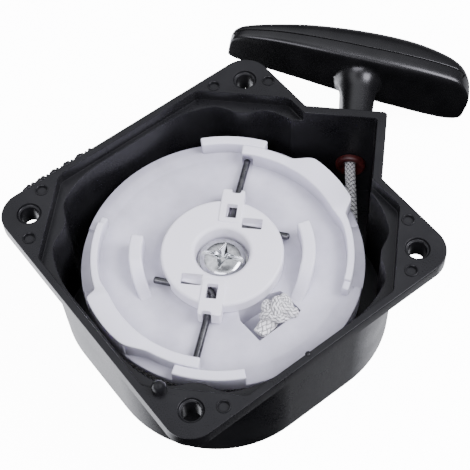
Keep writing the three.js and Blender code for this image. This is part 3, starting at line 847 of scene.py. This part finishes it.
def reel():
    """Rope reel: two flanges, the drum, the walls on its face, two ramped ribs and the knot pocket."""
    drum = lathe("rope_reel", [
        (BORE_R, BOSS_BOTTOM), (BOSS_OUT, BOSS_BOTTOM), (BOSS_OUT, REEL_BOTTOM), (REEL_R - 0.9, REEL_BOTTOM),
        (REEL_R - 0.5, REEL_BOTTOM + 0.4), (REEL_R - 0.5, GROOVE_BOTTOM - 0.6), (REEL_R - 1.5, GROOVE_BOTTOM),
        (GROOVE_R, GROOVE_BOTTOM), (GROOVE_R, GROOVE_TOP), (REEL_R - 0.4, GROOVE_TOP),
        (REEL_R, GROOVE_TOP + 0.4), (REEL_R, REEL_RIM_TOP - 0.5), (REEL_R - 0.15, REEL_RIM_TOP - 0.15),
        (REEL_R - 0.5, REEL_RIM_TOP), (41.2, REEL_RIM_TOP), (40, REEL_RIM_TOP - 0.2), (38, REEL_FACE + 0.2),
        (37, REEL_FACE), (CAP_COLLAR_R + 0.5, REEL_FACE), (CAP_COLLAR_R + 0.5, BORE_TOP), (BORE_R, BORE_TOP),
    ], 180)
    cut_with(drum, *both_sides(arc_wall, "step", CAM_OUT, REEL_R + 1, -8, 22, REEL_RIM_TOP - 1.2, 36))
    join_with(
        drum,
        *both_sides(cam_wall),
        *both_sides(soft_wall, RIM_WALL_IN, REEL_R, 78, 107, CAM_TOP, 0.5),
        *both_sides(soft_wall, CAM_IN, CAM_OUT, -13, -8, 29.8, 0.5),
        ramp_rib(28, -7, -28),
        ramp_rib(175, 195, 219),
    )
    pocket = rounded([(14, -11, 1), (7, -17.5, 1), (8, -20.5, 0.4), (14.6, -26.6, 0.3), (25.7, -15.1, 0.4),
                      (19, -9, 1)], 4)
    slot = rounded([(1.4, 34, 0.5), (5, 34, 0.5), (5, 39.2, 1.2), (1.4, 39.2, 1.2)], 4)
    notch = rounded([(42.4, -3.4, 0.2), (44, -3.4, 0.2), (44, -1.4, 0.2), (42.4, -1.4, 0.2)], 3)
    cut_with(
        drum,
        prism("pocket", pocket, GROOVE_BOTTOM, REEL_RIM_TOP + 1),
        *both_sides(prism, "slot", slot, REEL_FACE, WIRE_Z + 1.3),
        *both_sides(prism, "notch", notch, REEL_RIM_TOP - 0.7, 36),
    )
    flatten_faces(drum)
    shade(drum, 32)
    finish_piece(drum, "reel", "reel_nylon",
                 white_nylon("reel_nylon", (0.7, 0.69, 0.77), (0.4, 0.39, 0.45), (0.88, 0.87, 0.97)), "reel")


# ---------- hub cap, wires and screw ----------
WIRE_OUTER_END = Vector((3.2, 37, WIRE_Z))
WIRE_BEND = Vector((0.7, 11.2, WIRE_Z))
WIRE_INNER_END = Vector((19.6, 9.1, WIRE_Z))
WIRE_BEND_SIZE = 2.8
WIRE_SHIFT = 1.4


def bend_end_to(leg_end):
    """Point on a leg where the bend of the wire starts."""
    return WIRE_BEND + (leg_end - WIRE_BEND).normalized() * WIRE_BEND_SIZE


def wire_path():
    """Long leg, a round bend and the short leg across the hub."""
    start = bend_end_to(WIRE_OUTER_END)
    end = bend_end_to(WIRE_INNER_END)
    path = [WIRE_OUTER_END.lerp(start, k / 30) for k in range(30)]
    for k in range(11):
        t = k / 10
        path.append(start * (1 - t) ** 2 + WIRE_BEND * 2 * t * (1 - t) + end * t**2)
    path += [end.lerp(WIRE_INNER_END, (k + 1) / 60) for k in range(57)]
    path += [end.lerp(WIRE_INNER_END, share) for share in (0.965, 0.978, 0.988, 0.995, 1)]
    return path


def at_lower_wire(piece):
    """Move a shape that is drawn at the upper wire to the lower one, which sits a little further out."""
    return moved(piece, (0, -WIRE_SHIFT, 0), math.pi)


def wire_springs():
    """The two bent wires that ride the reel under the hub cap."""
    material = drawn_wire()
    for name in ("wire_spring_upper", "wire_spring_lower"):
        wire = tube(name.replace("spring", "form"), wire_path(), WIRE_D / 2, 20, end_rounding=0.5)
        if name == "wire_spring_lower":
            at_lower_wire(wire)
        shade(wire, 50)
        finish_piece(wire, "reel", "dark_wire", material, name)


def channel(start, end):
    """Space for one leg of a wire under the cap."""
    along = (end - start).normalized()
    across = Vector((-along.y, along.x, 0)) * (WIRE_D / 2 + 0.25)
    first, last = start - along * 1.2, end + along * 1.2
    outline = [first - across, last - across, last + across, first + across]
    return prism("channel", [(p.x, p.y) for p in outline], WIRE_Z - 2.2, WIRE_Z + 1.4)


def hub_cap():
    """Disc over the reel's hub, with a collar below, a recess for the screw, two tabs and its windows."""
    collar_bottom, recess_floor = 21.7, 23.7
    cap = lathe("hub_disc", [
        (BORE_R, collar_bottom), (CAP_COLLAR_R, collar_bottom), (CAP_COLLAR_R, CAP_BOTTOM),
        (CAP_R, CAP_BOTTOM), (CAP_R, CAP_TOP - 1), (CAP_R - 0.1, CAP_TOP - 0.6),
        (CAP_R - 0.4, CAP_TOP - 0.2), (CAP_R - 0.9, CAP_TOP), (CAP_RECESS_R + 1.5, CAP_TOP),
        (CAP_RECESS_R + 0.8, CAP_TOP - 0.15), (CAP_RECESS_R + 0.3, CAP_TOP - 0.5),
        (CAP_RECESS_R, CAP_TOP - 1.2), (CAP_RECESS_R, recess_floor), (BORE_R, recess_floor),
    ], 128)
    tab_window = rounded([(-0.6, 12, 0.3), (2.7, 12, 0.3), (2.7, 17, 0.3), (-0.6, 17, 0.3)], 3)
    slot_window = rounded([(4.7, 8.9, 0.4), (11, 8.9, 0.4), (11, 12.7, 0.4), (4.7, 12.7, 0.4)], 3)
    tab_notch = rounded([(0.2, 21.3, 0.8), (3.2, 21.3, 0.8), (3.2, 23, 0), (0.2, 23, 0)], 3)
    join_with(cap, *both_sides(cap_tab))
    for window in (tab_window, slot_window, tab_notch):
        cut_with(cap, *both_sides(prism, "window", window, WIRE_Z, CAP_TOP + 2))
    for start, end in (
        (WIRE_BEND, Vector((2, 25, WIRE_Z))),
        (WIRE_BEND, WIRE_INNER_END),
        (bend_end_to(WIRE_OUTER_END), bend_end_to(WIRE_INNER_END)),
    ):
        cut_with(cap, channel(start, end), at_lower_wire(channel(start, end)))
    flatten_faces(cap)
    shade(cap, 32)
    finish_piece(cap, "reel", "cap_nylon",
                 white_nylon("cap_nylon", (0.92, 0.9, 1.0), (0.87, 0.85, 0.97), (0.93, 0.91, 1.0)), "hub_cap")


def cap_tab():
    """Raised bridge of the cap over the wire's long leg."""
    outline = rounded([(-2.7, 10.4, 0.8), (4.4, 10.4, 0.8), (4.4, 22.6, 0.8), (-2.7, 22.6, 0.8)], 4)
    tab = prism("tab", outline, CAP_BOTTOM, CAP_TOP + 0.4)
    round_edges(tab, 0.3, segments=3)
    return tab


def star(point_r, valley_r, z):
    """Outline of a cross recess: four points with a valley between each two."""
    return [(*polar(point_r if k % 2 == 0 else valley_r, 45 * k), z) for k in range(8)]


def centre_screw():
    """Pan head with a tapered cross recess and one long slot, and the shank."""
    bottom = POST_TOP + 1.6
    top = bottom + 2.6
    screw = lathe("hub_screw", [
        (0.01, 9.4), (1.6, 9.4), (2.4, 10.4), (2.4, bottom), (6.9, bottom), (7.15, bottom + 0.3),
        (7.1, bottom + 0.8), (6.8, bottom + 1.3), (6.1, bottom + 1.85), (5.1, bottom + 2.25),
        (3.6, bottom + 2.5), (2, bottom + 2.58), (0.01, top),
    ], 96)
    cross = [star(1.2, 0.6, top - 2.3), star(4.6, 1.8, top - 0.4), star(5.1, 2.1, top + 0.4)]
    slot = box("slot", (-8, -0.65, top - 1.05), (8, 0.65, top + 1))
    turn = math.radians(-7)
    cut_with(screw, moved(stack("recess", cross), turn=turn), moved(slot, turn=turn))
    round_edges(screw, 0.08, angle=40)
    finish_piece(screw, "housing", "zinc",
                 zinc_plate("bright_zinc", (0.42, 0.43, 0.44), (0.7, 0.71, 0.72)), "centre_screw")


# ---------- rope ----------
INNER_LAYER = GROOVE_R + 0.4 + ROPE_D / 2
OUTER_LAYER = INNER_LAYER + ROPE_PITCH
LOW_TURN = GROOVE_BOTTOM + 0.4 + ROPE_D / 2
GUIDE_ENTRY = Vector((ROPE_X, BOX_Y - BOX_WALL - 2.2, ROPE_Z))
# Degrees round the drum between which the rope climbs a turn, goes to the outer layer, and drops a turn.
UP_STEP = (300, 340)
OUT_STEP = (620, 660)
DOWN_STEP = (940, 980)


def leaving_angle():
    """Angle where the rope leaves the outer layer for the grommet."""
    distance = math.hypot(GUIDE_ENTRY.x, GUIDE_ENTRY.y)
    return math.degrees(math.atan2(GUIDE_ENTRY.y, GUIDE_ENTRY.x) - math.acos(OUTER_LAYER / distance))


def rope_wound():
    """Three turns and a bit in two layers, from the knot's hole to where the rope leaves the reel."""
    start = POCKET_ANGLE + 3.6
    turn = 360 * 3 + leaving_angle() - start
    points = []
    steps = 540
    for k in range(steps + 1):
        along = turn * k / steps
        radius = INNER_LAYER + ROPE_PITCH * ease(along, *OUT_STEP)
        z = LOW_TURN + ROPE_PITCH * (ease(along, *UP_STEP) - ease(along, *DOWN_STEP))
        points.append((*polar(radius, start + along), z))
    rope = tube("rope_turns", points, ROPE_D / 2, 16)
    shade(rope, 60)
    finish_piece(rope, "reel", "rope_braid", starter_rope("rope_on_reel"), "rope_wound")


def rope_run():
    """From the outer layer, through the grommet and the stem, to the knot in the handle."""
    angle = leaving_angle()
    start = Vector((*polar(OUTER_LAYER, angle), LOW_TURN)) + Vector((*polar(0.3, angle + 90), 0))
    route = [start, start.lerp(GUIDE_ENTRY, 0.5), GUIDE_ENTRY, Vector((ROPE_X, STEM_START, ROPE_Z)),
             Vector((ROPE_X, HANDLE_Y - 2.1, ROPE_Z))]
    rope = tube("rope_line", smooth_path(route, 0.5), ROPE_D / 2, 20)
    shade(rope, 60)
    # Nearly black painted shade between the strands of the straight run.
    braid = starter_rope("rope_to_handle", from_uv=False, strands=8, gap_shade_colour=(0.02, 0.02, 0.02))
    rope.data.materials.append(braid)
    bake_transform(rope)
    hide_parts("rope_run")


# Each loop: its centre, its radius, the way it faces, the angle where it starts and how far it turns.
KNOT_LOOPS = [
    ((17.8, -16, 24.6), 3, (0.55, 0.2, 1), 20, 330),
    ((17.2, -15.4, 25.6), 2.4, (1, -0.25, 0.35), -80, 250),
    ((19.8, -16.2, 24.8), 2.7, (0.75, 0.75, 0.5), -60, 260),
    ((17.6, -17.6, 24.4), 2.5, (-0.3, 1, 0.6), -40, 240),
]
KNOT_TAIL = [(17.6, -16.8, 24.4), (16.6, -19, 23.9), (15.4, -21.2, 23), (14.2, -23.4, 22.4)]
FRAYED_R = ROPE_D / 2 + 0.85


def loop_strand(centre, radius, normal, start, turn):
    """Stretch of rope round an arc that faces along its normal."""
    facing = Vector(normal).normalized().to_track_quat("Z", "Y")
    path = []
    for angle in (start + turn * k / 48 for k in range(49)):
        path.append(Vector(centre) + facing @ Vector((*polar(radius, angle), 0.012 * (angle - start))))
    return tube("strand", path, ROPE_D / 2, 20, end_rounding=1.2)


def reel_knot():
    """Overhand knot that fills the pocket, its frayed tail, and the rope out through the drum."""
    knot, *others = [loop_strand(*loop) for loop in KNOT_LOOPS]
    others.append(tube("strand", smooth_path(KNOT_TAIL, 0.4), FRAYED_R, 20, end_rounding=0.5))
    inside = Vector((*polar(24, POCKET_ANGLE), LOW_TURN))
    outside = Vector((*polar(OUTER_LAYER - 2.1, POCKET_ANGLE), LOW_TURN))
    others.append(tube("strand", [outside.lerp(inside, k / 20) for k in range(21)], ROPE_D / 2, 16))
    merge(knot, *others)
    knot.name = "reel_knot"
    shade(knot, 60)
    braid = starter_rope("rope_knotted", strands=9, gap_shade_colour=(0.3, 0.3, 0.3))
    finish_piece(knot, "reel", "rope_braid", braid, "rope_reel_knot")


# ---------- handle ----------
# The finger side bows by this much per square millimetre along the bar, and tilts on its right half.
FINGER_BOW = 0.0015
FINGER_TILT = 0.055
# Powers of the superellipse: near 0 is square, and 1 is an ellipse.
FINGER_ROUNDNESS = 0.26
PALM_ROUNDNESS = 0.75
# Each station: how far along the bar, its bottom, its top and its palm side.
BAR_STATIONS = [
    (-46, -3.4, 3.6, 7.2), (-44.8, -4.4, 5.8, 8.8), (-41, -5.2, 8, 10), (-31, -5.8, 10.3, 12),
    (-18, -6.8, 11.6, 14.6), (-2, -8.8, 12, 16.6), (14, -9.8, 12, 16.8), (26, -10.6, 11.2, 15),
    (33.6, -10.6, 9.4, 12.2), (38, -9, 4.4, 9.2), (38.9, -6.2, -0.4, 7),
]


def bar_section(station, sides=64):
    """Rounded cross-section of the bar: nearly square corners at the fingers, rounder at the palm."""
    along, bottom, top, palm = station
    finger = FINGER_BOW * along**2 - FINGER_TILT * max(along, 0)
    ring = []
    for k in range(sides):
        cos, sin = math.cos(2 * math.pi * k / sides), math.sin(2 * math.pi * k / sides)
        roundness = FINGER_ROUNDNESS if cos < 0 else PALM_ROUNDNESS
        back = math.copysign(abs(cos) ** roundness, cos)
        up = math.copysign(abs(sin) ** roundness, sin)
        ring.append((along, (finger + palm) / 2 + (palm - finger) / 2 * back,
                     (bottom + top) / 2 + (top - bottom) / 2 * up))
    return ring


def handle_bar():
    """The whole bar, through its stations."""
    stations = [BAR_STATIONS[0]]
    ends = [BAR_STATIONS[0], *BAR_STATIONS, BAR_STATIONS[-1]]
    for a, b, c, d in zip(ends, ends[1:], ends[2:], ends[3:]):
        a, b, c, d = (Vector(s) for s in (a, b, c, d))
        for step in range(1, 7):
            stations.append(curve_point(a, b, c, d, step / 6))
    bar = stack("bar", [bar_section(s) for s in stations])
    clean(bar)
    return bar


def handle_stem():
    """Stem that flares into the bar, its foot buried in it."""
    start = STEM_START - HANDLE_Y
    stem = lathe("stem", [(r, -y) for r, y in (
        (0.02, start), (4.3, start), (4.7, start + 0.3), (4.9, start + 1), (6.1, -6), (6.5, -3.6),
        (7.1, -1.9), (7.9, -0.7), (8.8, 0.1), (9.2, 1.5), (9.2, 2.5), (0.02, 2.5),
    )], 64)
    return stood_along_rope(stem, (0, 0, 0))


def handle():
    """Stem and finger half of the bar, and the palm cover behind the seam."""
    front = cut_with(handle_bar(), box("palm", (-60, HANDLE_SEAM - 0.12, -30), (60, 40, 30)))
    front.name = "grip_front"
    round_edges(front, 0.25, angle=40)
    join_with(front, handle_stem())
    bore = lathe("bore", [(0.01, -3), (2.15, -3), (2.15, 40), (0.01, 40)], 32)
    cut_with(front, stood_along_rope(bore, (0, 0, 0)))
    flatten_faces(front)
    shade(front, 40)
    cover = cut_with(handle_bar(), box("finger", (-60, -20, -30), (60, HANDLE_SEAM + 0.12, 30)))
    cover.name = "grip_cover"
    round_edges(cover, 0.25, angle=40)
    material = handle_moulding()
    for piece, node in ((front, "handle_body"), (cover, "handle_cover")):
        moved(piece, (ROPE_X, HANDLE_Y, ROPE_Z), HANDLE_ROLL, "Y")
        finish_piece(piece, "handle", "handle_plastic", material, node)


# ---------- stage ----------
FLOOR_SIZE = 60
FLOOR_Z = -0.0002
# Each softbox: its name, place, width and power in watts.
SOFTBOXES = [("key", (0.85, 0.05, 0.95), 0.7, 24), ("fill", (-0.15, -0.85, 0.95), 0.8, 14)]
# The camera fitted to the flange holes and outline in the photograph.
CAMERA_PLACE = (0.04035, -0.1912, 0.343)
CAMERA_LOOK = Vector((-0.10008, 0.53127, -0.84127))
CAMERA_RIGHT = Vector((0.99095, 0.12921, -0.03629))
CAMERA_UP = Vector((-0.08942, 0.83729, 0.53939))


def stage():
    """Plain white floor that glows evenly and isn't mirrored in the object, and the light."""
    bpy.ops.mesh.primitive_plane_add(size=FLOOR_SIZE, location=(0, 0, FLOOR_Z))
    ground = bpy.context.object
    ground.name = "ground"
    ground.visible_glossy = False
    ground.visible_diffuse = False
    shader = Shader("ground_paper", (0.93, 0.93, 0.93), 0.9)
    paper = shader.noise(40, detail=3)
    shader.set(Base_Color=shader.mix(paper, (0.92, 0.92, 0.92), (0.95, 0.95, 0.95)))
    shader.set(Emission_Color=(1, 1, 1, 1), Emission_Strength=12.0)
    ground.data.materials.append(shader.material)
    studio_light()


def ramp(tree, value, low, high, to_low, to_high):
    """Smooth change from one number to another as a value goes from low to high."""
    node = tree.nodes.new("ShaderNodeMapRange")
    node.interpolation_type = "SMOOTHSTEP"
    for name, number in (("From Min", low), ("From Max", high), ("To Min", to_low), ("To Max", to_high)):
        socket = node.inputs[name]
        if isinstance(number, (int, float)):
            socket.default_value = number
        else:
            tree.links.new(number, socket)
    tree.links.new(value, node.inputs["Value"])
    return node.outputs["Result"]


def combined(tree, operation, first, second):
    node = tree.nodes.new("ShaderNodeMath")
    node.operation = operation
    tree.links.new(first, node.inputs[0])
    tree.links.new(second, node.inputs[1])
    return node.outputs["Value"]


def surroundings():
    """Pale room, darker behind the viewer, and bright low down beyond the handle and to the left."""
    world = bpy.data.worlds.new("studio")
    world.use_nodes = True
    tree = world.node_tree
    direction = tree.nodes.new("ShaderNodeTexCoord")
    split = tree.nodes.new("ShaderNodeSeparateXYZ")
    tree.links.new(direction.outputs["Generated"], split.inputs["Vector"])
    x, y, z = (split.outputs[axis] for axis in "XYZ")
    left_to_right = ramp(tree, x, -0.45, 0.35, 1.2, 0.8)
    behind_viewer = ramp(tree, y, -0.6, -0.2, 0.15, 1)
    room = combined(tree, "MULTIPLY", left_to_right, behind_viewer)
    room = combined(tree, "MULTIPLY", room, ramp(tree, z, 0.5, 0.9, 0.05, 1.7))
    room = combined(tree, "MULTIPLY", room, ramp(tree, z, 0.93, 0.99, 1, 0.2))
    rising = ramp(tree, y, -0.05, 0.25, 0.02, 2)
    falling = ramp(tree, y, 0.25, 0.6, 2, 0.7)
    beyond = combined(tree, "MINIMUM", rising, falling)
    below = combined(tree, "MAXIMUM", beyond, ramp(tree, x, -0.62, -0.35, 6, 0.02))
    tree.links.new(ramp(tree, z, -0.3, 0.12, below, room), tree.nodes["Background"].inputs["Strength"])
    tree.nodes["Background"].inputs["Color"].default_value = (0.93, 0.94, 1.0, 1)
    bpy.context.scene.world = world


def studio_light():
    """Two large softboxes in the pale room."""
    surroundings()
    for name, place, size, power in SOFTBOXES:
        lamp = bpy.data.lights.new(name, "AREA")
        lamp.size = size
        lamp.energy = power
        lamp.color = (0.91, 0.9, 1.0)
        light = bpy.data.objects.new(name, lamp)
        light.location = place
        light.rotation_euler = (-Vector(place)).to_track_quat("-Z", "Y").to_euler()
        bpy.context.collection.objects.link(light)


def camera():
    """The photograph's view: from above, on the side away from the handle."""
    lens = bpy.data.cameras.new("camera")
    lens.lens = 93.06
    lens.sensor_width = 36
    lens.clip_start = 0.01
    view = bpy.data.objects.new("camera", lens)
    facing = Matrix((CAMERA_RIGHT, CAMERA_UP, -CAMERA_LOOK)).transposed().to_4x4()
    view.matrix_world = Matrix.Translation(CAMERA_PLACE) @ facing
    bpy.context.collection.objects.link(view)
    bpy.context.scene.camera = view


camera()
stage()
housing()
rope_guide()
reel()
hub_cap()
wire_springs()
centre_screw()
rope_wound()
rope_run()
reel_knot()
handle()

# The pieces that stay as the CAD made them get finished materials too.
for node, material in (
    ("centre_washer", zinc_plate("dull_zinc", (0.22, 0.22, 0.23), (0.34, 0.34, 0.35))),
    ("recoil_spring", blued_strip()),
    ("rope_handle_knot", starter_rope("rope_in_handle")),
):
    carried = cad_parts[node].data.materials
    carried.clear()
    carried.append(material)
